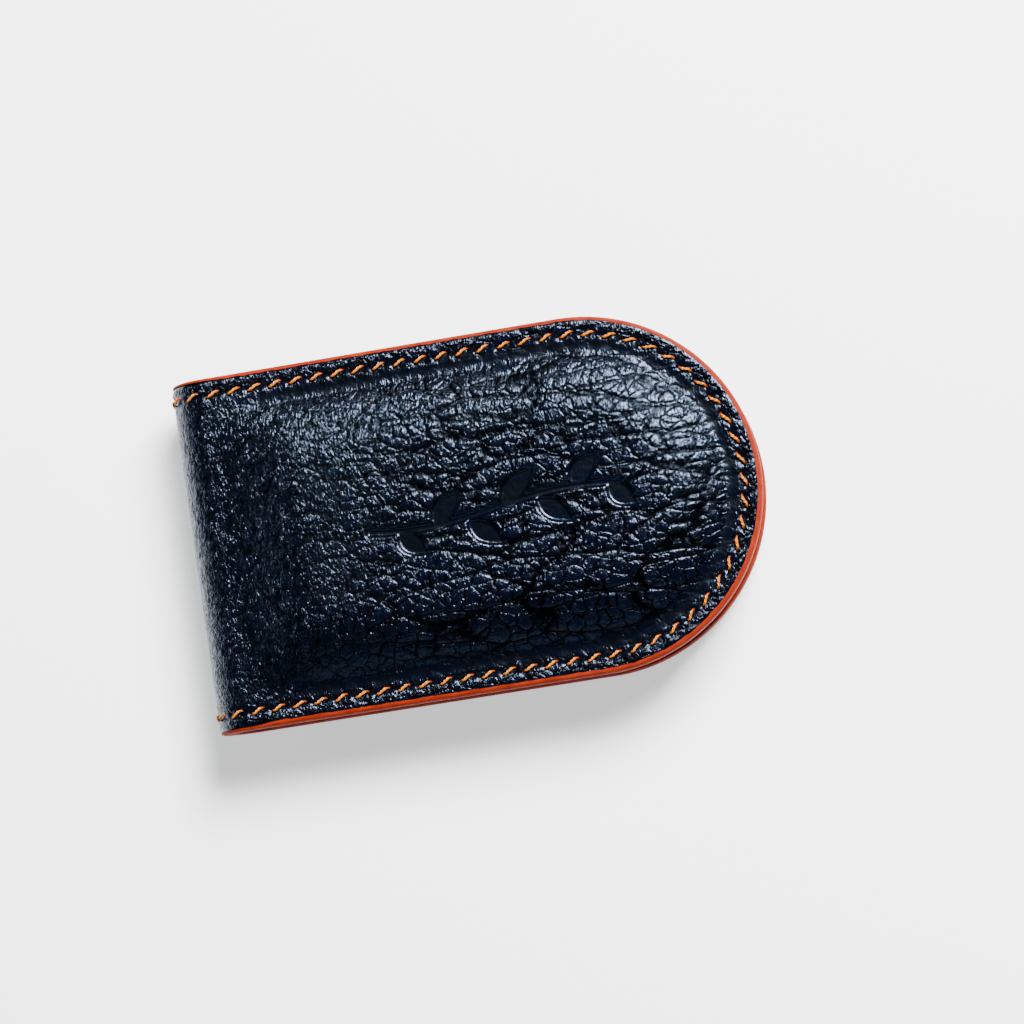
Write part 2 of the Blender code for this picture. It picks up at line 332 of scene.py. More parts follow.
def sheet(name, material, top, under, out, hide, pad, relief, every):
    """A closed sheet: a fine grid on its good side, a coarse one on the other, and a wall between them.

    top and under are grids of points, out the good side's normals, hide the place (along, across) on the
    unfolded strip, pad how far up the pad it is, and relief how strongly the grain shows. every is how many
    fine steps make one coarse step.
    """
    rows, columns = top.shape[:2]
    fine = np.arange(rows * columns).reshape(rows, columns)
    low_rows = sorted(set(range(0, rows, every)) | {rows - 1})
    low_columns = sorted(set(range(0, columns, every)) | {columns - 1})
    low_points = under[np.ix_(low_rows, low_columns)]
    low = np.arange(low_points.shape[0] * low_points.shape[1]).reshape(low_points.shape[:2])
    low = low + fine.size
    faces = np.stack([fine[:-1, :-1], fine[1:, :-1], fine[1:, 1:], fine[:-1, 1:]], -1).reshape(-1, 4).tolist()
    faces += np.stack([low[:-1, :-1], low[:-1, 1:], low[1:, 1:], low[1:, :-1]], -1).reshape(-1, 4).tolist()

    def wall(fine_line, low_line, marks, turned):
        for k in range(len(marks) - 1):
            face = list(fine_line[marks[k] : marks[k + 1] + 1]) + [low_line[k + 1], low_line[k]]
            faces.append([int(i) for i in (face if turned else face[::-1])])

    wall(fine[:, 0], low[:, 0], low_rows, False)
    wall(fine[:, -1], low[:, -1], low_rows, True)
    wall(fine[0], low[0], low_columns, True)
    wall(fine[-1], low[-1], low_columns, False)
    if np.einsum("ijk,ijk->ij", normals_of(top), out).mean() < 0:
        faces = [face[::-1] for face in faces]
    points = np.concatenate([top.reshape(-1, 3), low_points.reshape(-1, 3)])
    rest = len(points) - fine.size
    attributes = {
        "hide": np.pad(np.stack([axis.ravel() for axis in hide], -1), ((0, rest), (0, 1))),
        "out": np.pad(out.reshape(-1, 3), ((0, rest), (0, 0))),
        "relief": np.pad(relief.ravel(), (0, rest)),
        "pad": np.pad(pad.ravel(), (0, rest)),
    }
    return make_object(name, points, faces, material, attributes)


def socket(group, name, kind, into=True, value=None):
    made = group.interface.new_socket(name, in_out="INPUT" if into else "OUTPUT", socket_type=kind)
    if value is not None:
        made.default_value = value


def separate(tree, vector):
    return add(tree, "ShaderNodeSeparateXYZ", {"Vector": vector}).outputs


def hide_cells(tree, along, over, seed, stretch, size, randomness=1.0, wander=0.9):
    """The hide's cells of one size: distance to the nearest border, and a number for each cell."""
    a = calc(tree, "DIVIDE", calc(tree, "MULTIPLY", along, stretch[0]), size)
    b = calc(tree, "DIVIDE", calc(tree, "MULTIPLY", over, stretch[1]), size)
    flat = add(tree, "ShaderNodeCombineXYZ", {"X": a, "Y": b, "Z": seed}).outputs[0]
    inputs = {"Vector": flat, "Scale": 0.55, "Detail": 3.0, "Roughness": 0.6}
    drift = add(tree, "ShaderNodeTexNoise", inputs).outputs["Color"]
    drift = add(tree, "ShaderNodeVectorMath", {0: drift, 1: (0.5, 0.5, 0.5)}, operation="SUBTRACT").outputs[0]
    drift = add(tree, "ShaderNodeVectorMath", {0: drift, "Scale": wander}, operation="SCALE").outputs[0]
    place = add(tree, "ShaderNodeVectorMath", {0: flat, 1: drift}, operation="ADD").outputs[0]
    inputs = {"Vector": place, "Scale": 1.0, "Randomness": randomness}
    border = add(tree, "ShaderNodeTexVoronoi", inputs, feature="DISTANCE_TO_EDGE")
    nearest = add(tree, "ShaderNodeTexVoronoi", inputs, feature="F1")
    return border.outputs["Distance"], separate(tree, nearest.outputs["Color"])[0]


PEBBLES = (0.8, 1.0)
CREASES = (0.30, 1.0)
FLECKS = (1.5, 0.75)
FLECK_SHARE = 0.36
SEED_STEP = 7.31


def kept(tree, name, kind):
    """A mesh's own attribute, read in geometry nodes."""
    return add(tree, "GeometryNodeInputNamedAttribute", {"Name": name}, data_type=kind).outputs[0]


def dress(tree, geometry, material):
    """Ends a tree: instances made real, and the material set."""
    real = add(tree, "GeometryNodeRealizeInstances", {0: geometry}).outputs[0]
    dressed = add(tree, "GeometryNodeSetMaterial", {"Geometry": real, "Material": material})
    add(tree, "NodeGroupOutput", {0: dressed.outputs[0]})


def grain_group():
    """Geometry nodes that raise a sheet's grain along its normals: pebbles, long creases, fine flecks."""
    group = bpy.data.node_groups.new("leather_grain", "GeometryNodeTree")
    socket(group, "Geometry", "NodeSocketGeometry")
    socket(group, "Pebble Size", "NodeSocketFloat", value=0.0015)
    socket(group, "Pebble Height", "NodeSocketFloat", value=0.00008)
    socket(group, "Crease Spacing", "NodeSocketFloat", value=0.0032)
    socket(group, "Crease Depth", "NodeSocketFloat", value=0.00010)
    socket(group, "Fine Height", "NodeSocketFloat", value=0.00003)
    socket(group, "Seed", "NodeSocketFloat", value=3.0)
    socket(group, "Material", "NodeSocketMaterial")
    socket(group, "Geometry", "NodeSocketGeometry", into=False)
    given = add(group, "NodeGroupInput").outputs
    along, over, _ = separate(group, kept(group, "hide", "FLOAT_VECTOR"))
    on_pad = ramp(group, kept(group, "pad", "FLOAT"), 0.15, 0.9)
    seed = calc(group, "MULTIPLY", given["Seed"], SEED_STEP)
    size = given["Pebble Size"]
    border, chance = hide_cells(group, along, over, seed, PEBBLES, size)
    domed = calc(group, "POWER", ramp(group, border, 0.0, 0.16), 0.85)
    pebbles = calc(group, "MULTIPLY", domed, calc(group, "MULTIPLY_ADD", chance, 0.7, 0.55))
    small = calc(group, "MULTIPLY", size, FLECK_SHARE)
    border, chance = hide_cells(group, along, over, seed, FLECKS, small)
    tall = calc(group, "MULTIPLY_ADD", chance, 1.2, 0.3)
    flecks = calc(group, "MULTIPLY", ramp(group, border, 0.0, 0.3), tall)
    border = hide_cells(group, along, over, seed, CREASES, given["Crease Spacing"], 0.8)[0]
    creases = ramp(group, border, 0.0, 0.13, 1.0, 0.0)
    pebbles = calc(group, "MULTIPLY", pebbles, calc(group, "MULTIPLY_ADD", on_pad, 0.65, 0.35))
    creases = calc(group, "MULTIPLY", creases, calc(group, "MULTIPLY_ADD", on_pad, 0.75, 0.25))
    flecks = calc(group, "MULTIPLY", flecks, calc(group, "MULTIPLY_ADD", on_pad, -0.35, 1.0))
    raised = calc(group, "MULTIPLY", pebbles, given["Pebble Height"])
    sunk = calc(group, "MULTIPLY", creases, given["Crease Depth"])
    fine = calc(group, "MULTIPLY", flecks, given["Fine Height"])
    height = calc(group, "ADD", calc(group, "SUBTRACT", raised, sunk), fine)
    lift = calc(group, "MULTIPLY", height, kept(group, "relief", "FLOAT"))
    inputs = {0: kept(group, "out", "FLOAT_VECTOR"), "Scale": lift}
    offset = add(group, "ShaderNodeVectorMath", inputs, operation="SCALE").outputs[0]
    made = add(group, "GeometryNodeSetPosition", {0: given["Geometry"], "Offset": offset}).outputs[0]
    inputs = {0: made, "Name": "worn", "Value": calc(group, "DIVIDE", height, given["Pebble Height"])}
    made = add(group, "GeometryNodeStoreNamedAttribute", inputs, data_type="FLOAT", domain="POINT")
    dress(group, made.outputs[0], given["Material"])
    return group


def apply_nodes(obj, group, **values):
    """Runs a geometry node group on an object and keeps the result as its plain mesh."""
    modifier = obj.modifiers.new(group.name, "NODES")
    modifier.node_group = group
    for item in group.interface.items_tree:
        key = item.name.replace(" ", "_")
        if item.in_out == "INPUT" and key in values:
            modifier[item.identifier] = values[key]
    graph = bpy.context.evaluated_depsgraph_get()
    made = bpy.data.meshes.new_from_object(obj.evaluated_get(graph), depsgraph=graph)
    obj.modifiers.clear()
    obj.data = made
    made.name = obj.name
    made.shade_smooth()
    made.set_sharp_from_angle(angle=math.radians(65))
    return obj


def fine_grain_group():
    """A shader group: the hair-fine wrinkles and pores of a hide, and the sharp bottoms of its creases."""
    group = bpy.data.node_groups.new("fine_grain", "ShaderNodeTree")
    socket(group, "Vector", "NodeSocketVector")
    socket(group, "Pad", "NodeSocketFloat", value=0.5)
    socket(group, "Pebble Size", "NodeSocketFloat", value=0.0015)
    socket(group, "Crease Spacing", "NodeSocketFloat", value=0.0032)
    socket(group, "Seed", "NodeSocketFloat", value=3.0)
    socket(group, "Creases", "NodeSocketFloat", value=1.0)
    socket(group, "Strength", "NodeSocketFloat", value=1.0)
    socket(group, "Normal", "NodeSocketVector", into=False)
    socket(group, "Crevice", "NodeSocketFloat", into=False)
    given = add(group, "NodeGroupInput").outputs
    along, over, _ = separate(group, given["Vector"])
    seed = calc(group, "MULTIPLY", given["Seed"], SEED_STEP)
    size = given["Pebble Size"]
    border = hide_cells(group, along, over, seed, PEBBLES, size)[0]
    crease = hide_cells(group, along, over, seed, CREASES, given["Crease Spacing"], 0.8)[0]
    pits = ramp(group, border, 0.0, 0.11, 1.0, 0.0)
    folds = ramp(group, crease, 0.0, 0.075, 1.0, 0.0)
    pits = calc(group, "MULTIPLY", pits, calc(group, "MULTIPLY_ADD", given["Pad"], 0.35, 0.65))
    folds = calc(group, "MULTIPLY", folds, calc(group, "MULTIPLY_ADD", given["Pad"], 0.8, 0.2))
    folds = calc(group, "MULTIPLY", folds, given["Creases"])
    small = calc(group, "MULTIPLY", size, FLECK_SHARE)
    small = ramp(group, hide_cells(group, along, over, seed, FLECKS, small)[0], 0.0, 0.16, 1.0, 0.0)
    small = calc(group, "MULTIPLY", small, calc(group, "MULTIPLY_ADD", given["Pad"], -0.20, 0.35))
    crevice = calc(group, "MAXIMUM", calc(group, "MAXIMUM", pits, folds), small)
    across = hide_cells(group, along, over, seed, (1.0, 0.42), 0.00036, 1.0, 1.1)
    pores = hide_cells(group, along, over, seed, (1.0, 0.80), 0.00019)
    patches = {"Vector": given["Vector"], "Scale": 650.0, "Detail": 2.0}
    patches = ramp(group, add(group, "ShaderNodeTexNoise", patches).outputs[0], 0.36, 0.64, 0.42, 1.0)
    wrinkles = calc(group, "MULTIPLY", ramp(group, across[0], 0.0, 0.35), across[1])
    wrinkles = calc(group, "MULTIPLY", wrinkles, patches)
    wrinkles = calc(group, "MULTIPLY", wrinkles, calc(group, "MULTIPLY_ADD", given["Pad"], -0.04, 1.0))
    height = calc(group, "MULTIPLY", wrinkles, 0.000098)
    height = calc(group, "MULTIPLY_ADD", ramp(group, pores[0], 0.0, 0.4), 0.000009, height)
    height = calc(group, "MULTIPLY_ADD", crevice, -0.000040, height)
    bump = add(group, "ShaderNodeBump", {"Height": height, "Strength": given["Strength"], "Distance": 1.0})
    add(group, "NodeGroupOutput", {0: bump.outputs[0], 1: crevice})
    return group


fine_grain = fine_grain_group()
leather_grain = grain_group()


def leather_material(name, dark, light, roughness, strength, numbers):
    """Dyed leather under a gloss finish, its colour carrying painted shade: darker in its folds and creases,
    smoother and paler where the grain stands up.

    The metallic mask also takes the reflection out of the bottoms of the creases as painted shade. On leather
    this dark it leaves them black.
    """
    made, tree, shader = new_material(name)
    set_inputs(shader, Specular_Tint=(0.55, 0.70, 1.0, 1.0), Specular_IOR_Level=0.42)
    hide = add(tree, "ShaderNodeAttribute", attribute_name="hide").outputs["Vector"]
    worn = add(tree, "ShaderNodeAttribute", attribute_name="worn").outputs["Fac"]
    pad = add(tree, "ShaderNodeAttribute", attribute_name="pad").outputs["Fac"]
    relief = add(tree, "ShaderNodeAttribute", attribute_name="relief").outputs["Fac"]
    grain = add(tree, "ShaderNodeGroup", node_tree=fine_grain)
    tree.links.new(hide, grain.inputs["Vector"])
    tree.links.new(pad, grain.inputs["Pad"])
    tree.links.new(ramp(tree, relief, 0.0, 1.0, 0.1 * strength, strength), grain.inputs["Strength"])
    for key in ("Pebble Size", "Crease Spacing", "Creases", "Seed"):
        grain.inputs[key].default_value = numbers[key.replace(" ", "_")]
    high = ramp(tree, worn, 0.0, 1.3)
    # Painted shade: the base colour darkens in the crevices and where the grain lies low, and the metallic
    # mask blacks out the reflection in the crevices.
    open_grain = calc(tree, "SUBTRACT", 1.0, calc(tree, "MULTIPLY", grain.outputs["Crevice"], relief))
    tone = calc(tree, "MULTIPLY", high, open_grain)
    mixed = add(tree, "ShaderNodeMix", {0: tone, 6: dark, 7: light}, data_type="RGBA")
    tree.links.new(mixed.outputs[2], shader.inputs["Base Color"])
    tree.links.new(ramp(tree, tone, 0.0, 1.0, roughness + 0.06, roughness), shader.inputs["Roughness"])
    tree.links.new(ramp(tree, open_grain, 0.0, 0.8, 0.85, 0.0), shader.inputs["Metallic"])
    tree.links.new(grain.outputs["Normal"], shader.inputs["Normal"])
    return made


outer_numbers = {
    "Pebble_Size": 0.00155,
    "Pebble_Height": 0.000080,
    "Crease_Spacing": 0.0034,
    "Crease_Depth": 0.00011,
    "Fine_Height": 0.00007,
    "Creases": 1.0,
    "Seed": 3.0,
}
# outer_dark is painted shade in the creases and low grain; outer_light is the colour of the raised grain.
outer_dark = (0.0002, 0.0003, 0.0009, 1.0)
outer_light = (0.0005, 0.0011, 0.0046, 1.0)
outer_material = leather_material("navy_black_leather", outer_dark, outer_light, 0.195, 1.0, outer_numbers)
outer_numbers["Material"] = outer_material
step = 0.00020
along_flap = graded(END_CENTRE + HALF_WIDTH * math.pi / 4, step * 0.42, step, False, True)
over_flap = graded(2 * HALF_WIDTH, step * 0.42, step, True, True)


def flap_leather(name, face, body):
    """One flap of the outer leather."""
    x, y = flap_grid(along_flap, over_flap)
    height = leather_height(x, y)
    d = edge_distance(x, y)
    press = sprig(x, y) if face > 0 else 0.0
    near = sprig(x, y, 0.0006) if face > 0 else 0.0
    top = to_flap(face, x, y, height - SPRIG_DEPTH * press)
    out = normals_of(to_flap(face, x, y, height)) * face
    rise = np.sin(np.clip(pocket_depth(x, y) / POCKET_RISE, 0, 1) * math.pi / 2)
    under = to_flap(face, x, y, LEATHER_UNDER + (PAD_HEIGHT - 0.0001) * rise)
    strip = x if face > 0 else -FOLD_LENGTH - x
    pad = (0.6 + 0.4 * smooth((d - PAD_INSET + 0.0008) / 0.0034)) * smooth((x - 0.001) / 0.035)
    relief = quiet_seam(d) * (1 - 0.78 * groove_at(x, d)) * (1 - 0.80 * press) * (1 - 0.45 * near)
    made = sheet(name, outer_material, top, under, out, (strip, y), pad, relief, 6)
    apply_nodes(made, leather_grain, **outer_numbers)
    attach(made, body)
    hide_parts(f"{body[:-5]}_outer_leather")


def fold_grid(number, columns, rows):
    """Points (angle, y) of one third of the fold, and how far in from the edge each is."""
    half = HALF_WIDTH - LEATHER_EDGE
    angle = np.linspace(FOLD_CUTS[number], FOLD_CUTS[number + 1], rows)[:, None]
    y = (columns / columns[-1] * 2 - 1)[None, :] * half
    angle, y = np.broadcast_arrays(angle, y)
    return angle, y, HALF_WIDTH - np.abs(y)


def blend_fold(made):
    """Bakes the placement of a piece of the fold into its own points, where it stays at rest."""
    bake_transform(made)


FOLD_NODES = (("2",), ("1", "2"), ("1",))


def fold_leather(number):
    """One third of the outer leather round the fold."""
    rows = int(math.pi / 3 * FOLD_RADIUS / step) + 1
    angle, y, d = fold_grid(number, over_flap, rows)
    q = angle * FOLD_RADIUS
    channel = seam_relief(q, (SEAM_INSET - d) * np.sign(-y), FOLD_PITCH)
    height = LEATHER_TOP - EDGE_DROP * rolled_edge(d) + channel
    top = to_fold(angle, y, height)
    out = -normals_of(top)
    under = to_fold(angle, y, np.full_like(y, LEATHER_UNDER))
    pad = np.zeros_like(y)
    name = f"fold_leather_{number + 1}"
    made = sheet(name, outer_material, top, under, out, (-q, y), pad, quiet_seam(d), 6)
    apply_nodes(made, leather_grain, **outer_numbers)
    blend_fold(made)
    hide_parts(*[f"fold_outer_leather_{leaf}" for leaf in FOLD_NODES[number]])


flap_leather("front_leather", 1, "front_flap")
flap_leather("back_leather", -1, "back_flap")
for number in range(3):
    fold_leather(number)


# Edge paint. The cut edges of both leathers are sanded together and built up with coats of flexible
# orange-red paint, which rolls a little onto the leather. Its border wanders, as a hand-brushed one does.
paint_material, tree, shader = new_material("orange_red_edge_paint")
set_inputs(shader, Roughness=0.60, Specular_IOR_Level=0.08)
hide = add(tree, "ShaderNodeAttribute", attribute_name="hide").outputs["Vector"]
streaks = add(tree, "ShaderNodeMapping", {"Vector": hide, "Scale": (0.35, 1.0, 1.0)}).outputs[0]
streaks = add(tree, "ShaderNodeTexNoise", {"Vector": streaks, "Scale": 1500.0, "Detail": 3.0}).outputs[0]
paint_dark = (0.13, 0.0072, 0.0007, 1.0)
paint_light = (0.20, 0.0130, 0.0010, 1.0)
colours = {0: ramp(tree, streaks, 0.3, 0.7), 6: paint_dark, 7: paint_light}
mixed = add(tree, "ShaderNodeMix", colours, data_type="RGBA")
tree.links.new(mixed.outputs[2], shader.inputs["Base Color"])
bump = add(tree, "ShaderNodeBump", {"Height": streaks, "Strength": 0.25, "Distance": 0.00006})
tree.links.new(bump.outputs[0], shader.inputs["Normal"])

PAINT_TOP = LEATHER_TOP - 0.00003
LINING_LEVEL = -0.0010
PAINT_LOW = LINING_LEVEL + 0.00003


def paint_profile(width, sides=9):
    """The coat's section as (inset, level): round outside from the top to the underside, then back inside."""
    middle = (PAINT_TOP + PAINT_LOW) / 2
    tall = (PAINT_TOP - PAINT_LOW) / 2
    points = []
    for i in range(2 * sides + 1):
        t = math.pi / 2 * (1 - i / sides)
        across = width - width * math.cos(t) ** 0.62
        points.append((across, middle + tall * math.copysign(abs(math.sin(t)) ** 0.62, t)))
    inner = min(0.00036, width * 0.9)
    points += [(inner, PAINT_LOW + 0.00025), (inner, PAINT_TOP - 0.00025)]
    return points


def swept(name, rings, material, attributes=None):
    """A closed tube through rings of points, with flat ends."""
    rings = np.array(rings)
    count, around = rings.shape[:2]
    index = np.arange(count * around).reshape(count, around)
    turned = np.roll(index, -1, axis=1)
    faces = np.stack([index[:-1], turned[:-1], turned[1:], index[1:]], -1).reshape(-1, 4).tolist()
    faces.append([int(i) for i in index[0]][::-1])
    faces.append([int(i) for i in index[-1]])
    a, b, c = (rings.reshape(-1, 3)[[face[k] for face in faces[: count * around - around]]] for k in range(3))
    if np.einsum("ij,ij->i", a, np.cross(b, c)).sum() < 0:
        faces = [face[::-1] for face in faces]
    made = make_object(name, rings.reshape(-1, 3), faces, material, attributes)
    made.data.set_sharp_from_angle(angle=math.radians(50))
    return made


def wander(q):
    """The unsteady hand that laid the paint."""
    waves = np.sin(q * 2900) * 0.35 + np.sin(q * 1330 + 1.7) * 0.4 + np.sin(q * 5700 + 0.6) * 0.25
    return 0.00007 * waves


def rim_point(q, inset):
    """The place on a flap this far along its edge, from the fold on the -Y side round to the fold again."""
    half = HALF_WIDTH - inset
    arc = math.pi * HALF_WIDTH
    if q < END_CENTRE:
        return q, -half
    if q > END_CENTRE + arc:
        return 2 * END_CENTRE + arc - q, half
    angle = (q - END_CENTRE) / HALF_WIDTH - math.pi / 2
    return END_CENTRE + half * math.cos(angle), half * math.sin(angle)


def flap_paint(name, face, body):
    length = 2 * END_CENTRE + math.pi * HALF_WIDTH
    rings = []
    marks = []
    for q in np.linspace(0.0, length, int(length / 0.0003)):
        from_fold = min(q, length - q)
        lower = 0.5 - 0.5 * math.tanh((q - length * 0.5) / 0.02)
        full = 0.00052 + 0.00018 * lower + wander(q)
        width = 0.00040 + (full - 0.00040) * float(smooth(from_fold / 0.004))
        ring = []
        for inset, level in paint_profile(width):
            x, y = rim_point(q, inset)
            ring.append(to_flap(face, x, y, level))
        rings.append(ring)
        marks += [(q, k * 0.0002, face * 0.01) for k in range(len(ring))]
    made = swept(name, rings, paint_material, {"hide": np.array(marks)})
    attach(made, body)
    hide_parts(f"{body[:-5]}_edge_paint")


def fold_paint(number, side):
    rings = []
    marks = []
    for angle in np.linspace(FOLD_CUTS[number], FOLD_CUTS[number + 1], 25):
        ring = []
        for inset, level in paint_profile(0.00040):
            ring.append(to_fold(angle, side * (HALF_WIDTH - inset), level))
        rings.append(ring)
        marks += [(-angle * FOLD_RADIUS, k * 0.0002, side * 0.02) for k in range(len(ring))]
    label = "left" if side > 0 else "right"
    made = swept(f"fold_paint_{label}_{number + 1}", rings, paint_material, {"hide": np.array(marks)})
    blend_fold(made)


flap_paint("front_paint", 1, "front_flap")
flap_paint("back_paint", -1, "back_flap")
for number in range(3):
    for side in (-1, 1):
        fold_paint(number, side)


# Stitching. Waxed orange polyester thread of three plies, saddle-stitched by hand through slanted awl holes,
# so that each stitch lies at an angle to the seam. The same seam shows on the lining.
thread_material, tree, shader = new_material("orange_waxed_thread")
set_inputs(shader, Roughness=0.42, Specular_IOR_Level=0.35)
place = add(tree, "ShaderNodeTexCoord").outputs["Object"]
fibres = add(tree, "ShaderNodeTexNoise", {"Vector": place, "Scale": 5200.0, "Detail": 2.0}).outputs[0]
crown = add(tree, "ShaderNodeAttribute", attribute_name="crown").outputs["Fac"]
# Painted light: each ply is paler orange on its top as a painted highlight and dark red underneath as painted
# shade, mixed with the fibres' own tone.
painted_light_and_fibres = calc(tree, "MULTIPLY", ramp(tree, crown, 0.0, 1.0), ramp(tree, fibres, 0.25, 0.7, 0.55, 1.0))
colours = {0: painted_light_and_fibres, 6: (0.15, 0.0085, 0.000, 1.0), 7: (0.80, 0.235, 0.004, 1.0)}
mixed = add(tree, "ShaderNodeMix", colours, data_type="RGBA")
tree.links.new(mixed.outputs[2], shader.inputs["Base Color"])
bump = add(tree, "ShaderNodeBump", {"Height": fibres, "Strength": 0.4, "Distance": 0.00004})
tree.links.new(bump.outputs[0], shader.inputs["Normal"])


def stitch_mesh(steps=9, sides=4, plies=3):
    """One stitch along X: twisted plies that rise out of one hole and dive into the next."""
    points = []
    crown = []
    faces = []
    for ply in range(plies):
        first = len(points)
        for i in range(steps + 1):
            t = i / steps
            x = (t - 0.5) * (STITCH_LENGTH + 0.0003)
            twist = 2 * math.pi * (ply / plies - 1.35 * t)
            fat = math.sin(math.pi * min(max(t, 0.02), 0.98)) ** 0.35
            arch = 0.00022 - 0.00046 * abs(2 * t - 1) ** 4
            y = 0.00011 * fat * math.cos(twist) - 0.00011 * math.sin(2 * math.pi * t)
            z = arch + 0.00012 * fat * math.sin(twist)
            radius = 0.000105 * (0.40 + 0.60 * fat)
            for k in range(sides):
                a = 2 * math.pi * k / sides + twist
                points.append((x, y + radius * math.cos(a), z + radius * math.sin(a)))
                # crown is how high the point stands on the stitch. The thread's colour uses it for a painted
                # highlight on top and painted shade below.
                crown.append((points[-1][2] - 0.00008) / 0.00032)
        for i in range(steps):
            for k in range(sides):
                n = (k + 1) % sides
                row = first + i * sides
                faces.append((row + k, row + sides + k, row + sides + n, row + n))
        faces.append(tuple(first + k for k in range(sides)))
        faces.append(tuple(first + steps * sides + k for k in reversed(range(sides))))
    return np.array(points), np.clip(crown, 0, 1), faces


points, crown, faces = stitch_mesh()
one_stitch = make_object("one_stitch", points, [f[::-1] for f in faces], thread_material, {"crown": crown})
one_stitch.hide_render = True


def seam_group():
    """Geometry nodes that set one stitch on each point of a seam, turned from the seam's line."""
    group = bpy.data.node_groups.new("stitched_seam", "GeometryNodeTree")
    socket(group, "Geometry", "NodeSocketGeometry")
    socket(group, "Stitch", "NodeSocketObject")
    socket(group, "Turn", "NodeSocketFloat", value=STITCH_TURN)
    socket(group, "Unevenness", "NodeSocketFloat", value=0.07)
    socket(group, "Seed", "NodeSocketInt", value=5)
    socket(group, "Material", "NodeSocketMaterial")
    socket(group, "Geometry", "NodeSocketGeometry", into=False)
    given = add(group, "NodeGroupInput").outputs

    def uneven(step, share=1.0):
        span = calc(group, "MULTIPLY", given["Unevenness"], share)
        seed = add(group, "FunctionNodeIntegerMath", {0: given["Seed"], 1: step}).outputs[0]
        inputs = {2: calc(group, "MULTIPLY", span, -1.0), 3: span, "Seed": seed}
        return add(group, "FunctionNodeRandomValue", inputs, data_type="FLOAT").outputs[1]

    align = "FunctionNodeAlignRotationToVector"
    laid = add(group, align, {"Vector": kept(group, "along", "FLOAT_VECTOR")}, axis="X").outputs[0]
    inputs = {"Rotation": laid, "Vector": kept(group, "out", "FLOAT_VECTOR")}
    laid = add(group, align, inputs, axis="Z", pivot_axis="X").outputs[0]
    turn = calc(group, "MULTIPLY", given["Turn"], kept(group, "hand", "FLOAT"))
    turn = calc(group, "ADD", turn, uneven(1))
    about = add(group, "FunctionNodeAxisAngleToRotation", {"Axis": (0.0, 0.0, 1.0), "Angle": turn}).outputs[0]
    laid = add(group, "FunctionNodeRotateRotation", {0: laid, 1: about}, rotation_space="LOCAL").outputs[0]
    long = calc(group, "ADD", uneven(2, 0.8), 1.0)
    long = calc(group, "MULTIPLY", kept(group, "long", "FLOAT"), long)
    size = add(group, "ShaderNodeCombineXYZ", {"X": long, "Y": 1.0, "Z": 1.0}).outputs[0]
    stitch = add(group, "GeometryNodeObjectInfo", {"Object": given["Stitch"]}).outputs["Geometry"]
    points = add(group, "GeometryNodeMeshToPoints", {"Mesh": given["Geometry"]}).outputs[0]
    inputs = {"Points": points, "Instance": stitch, "Rotation": laid, "Scale": size}
    made = add(group, "GeometryNodeInstanceOnPoints", inputs).outputs[0]
    dress(group, made, given["Material"])
    return group


stitched_seam = seam_group()


def stitches(name, places, along, out, hand, long, seed):
    """A run of stitches at these places."""
    count = len(places)
    attributes = {"along": along, "out": out, "hand": np.full(count, hand), "long": np.full(count, long)}
    made = make_object(name, places, [], thread_material, attributes)
    numbers = {"Stitch": one_stitch, "Turn": STITCH_TURN, "Unevenness": 0.07, "Seed": seed}
    apply_nodes(made, stitched_seam, Material=thread_material, **numbers)
    return made


def flap_seam():
    """The stitches of a flap as (x, y) and the seam's direction there."""
    places = []
    for k in range(STITCHES):
        q = (k + 0.5) * PITCH
        if q < END_CENTRE:
            places.append((q, -SEAM_HALF, 1.0, 0.0))
        elif q > SEAM_LENGTH - END_CENTRE:
            places.append((SEAM_LENGTH - q, SEAM_HALF, -1.0, 0.0))
        else:
            angle = (q - END_CENTRE) / SEAM_HALF - math.pi / 2
            x = END_CENTRE + SEAM_HALF * math.cos(angle)
            places.append((x, SEAM_HALF * math.sin(angle), -math.sin(angle), math.cos(angle)))
    return np.array(places).T


def flap_stitches(name, face, body, inside):
    x, y, along_x, along_y = flap_seam()
    level = LINING_LEVEL + 0.00003 if inside else LEATHER_TOP - 0.00006
    places = to_flap(face, x, y, np.full_like(x, level))
    up = face * (-1 if inside else 1)
    out = np.tile((0.0, 0.0, float(up)), (len(x), 1))
    along = np.stack([along_x, along_y, np.zeros_like(x)], axis=-1)
    made = stitches(name, places, along, out, 1.0, 1.0, 5 + up)
    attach(made, body)
    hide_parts(f"{body[:-5]}_{'bobbin' if inside else 'needle'}_thread")


def fold_stitches(number, inside):
    angles = [(k + 0.5) * math.pi / FOLD_STITCHES for k in range(FOLD_STITCHES)]
    angles = [a for a in angles if FOLD_CUTS[number] <= a < FOLD_CUTS[number + 1]]
    angle = np.array(angles * 2)
    y = np.repeat([-SEAM_HALF, SEAM_HALF], len(angles))
    level = LINING_LEVEL + 0.00003 if inside else LEATHER_TOP - 0.00006
    places = to_fold(angle, y, np.full_like(y, level))
    out = np.stack([-np.sin(angle), np.zeros_like(y), np.cos(angle)], axis=-1)
    along = np.stack([np.cos(angle), np.zeros_like(y), np.sin(angle)], axis=-1)
    label = "inside" if inside else "outside"
    long = 0.55 if inside else 1.0
    out = -out if inside else out
    made = stitches(f"fold_stitches_{label}_{number + 1}", places, along, out, 1.0, long, 11 + number)
    blend_fold(made)


for face, flap in ((1, "front"), (-1, "back")):
    flap_stitches(f"{flap}_stitches_outside", face, f"{flap}_flap", False)
    flap_stitches(f"{flap}_stitches_inside", face, f"{flap}_flap", True)
for number in range(3):
    fold_stitches(number, False)
    fold_stitches(number, True)
bpy.data.objects.remove(one_stitch)


